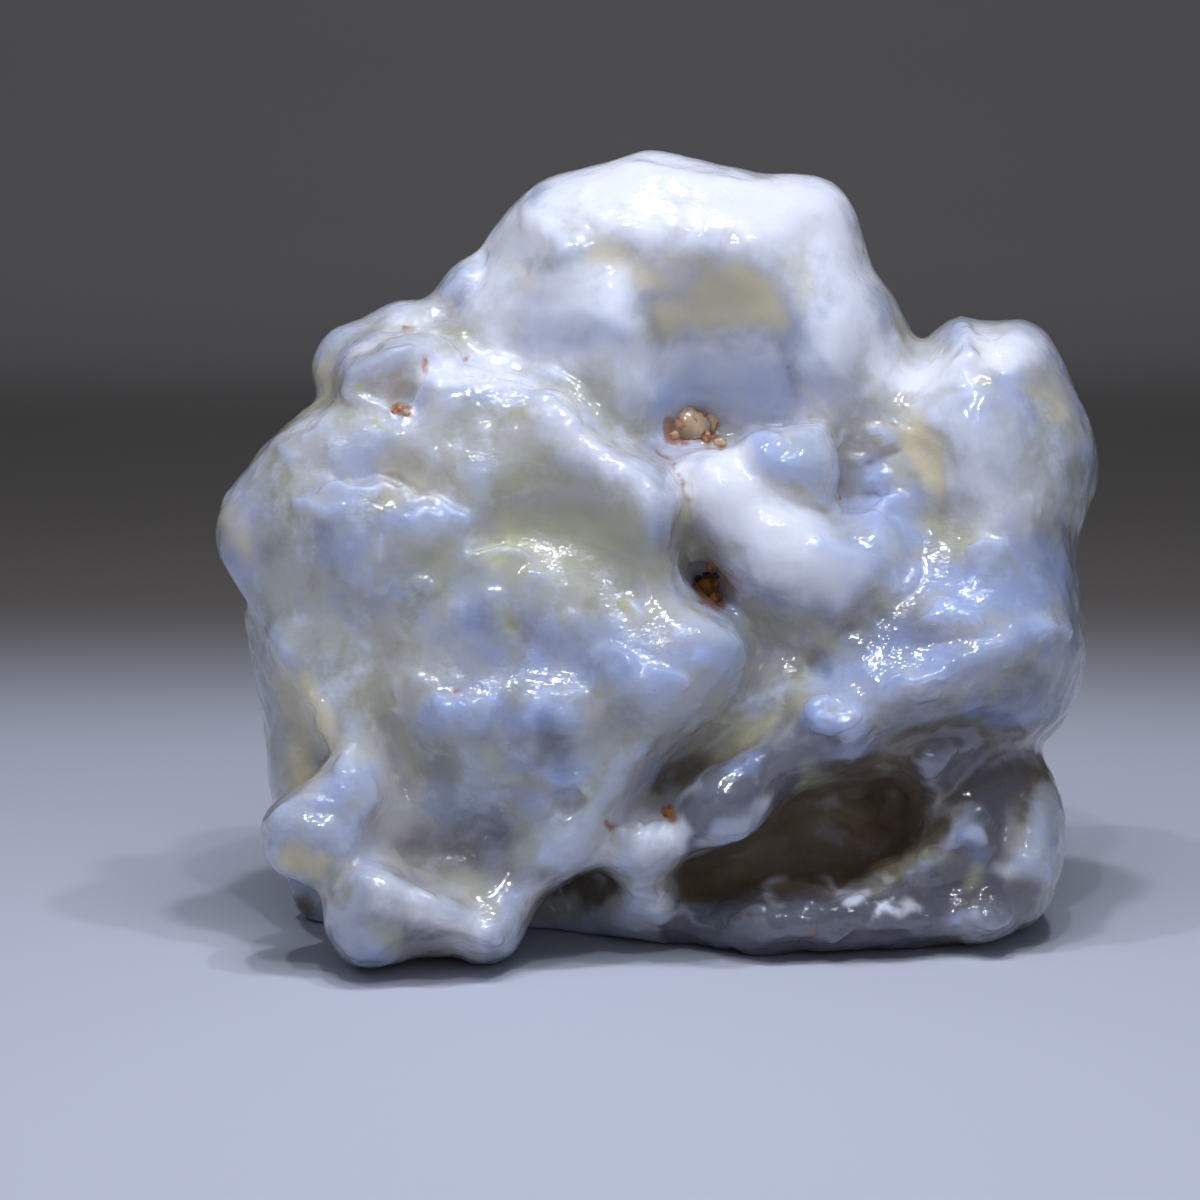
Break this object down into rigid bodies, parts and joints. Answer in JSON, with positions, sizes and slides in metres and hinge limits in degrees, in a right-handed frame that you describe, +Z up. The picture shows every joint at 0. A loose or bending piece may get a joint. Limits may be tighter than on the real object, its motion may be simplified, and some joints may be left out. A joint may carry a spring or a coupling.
{
  "type": "gobi agate",
  "caption": "Wind-polished lump of milky blue-white chalcedony, domed, lobed and hollowed, standing on its own low feet.",
  "frame": {"origin": "middle of the stone's outline seen from above, at the level of the surface it stands on", "axes": "+Z up, the lobed front towards -Y, +X to the right seen from the front"},
  "size_m": [0.0694, 0.043, 0.061],
  "materials": {
    "milky_chalcedony": "wind-polished, translucent"
  },
  "bodies": {
    "root": {"agate": "milky_chalcedony"}
  },
  "joints": []
}
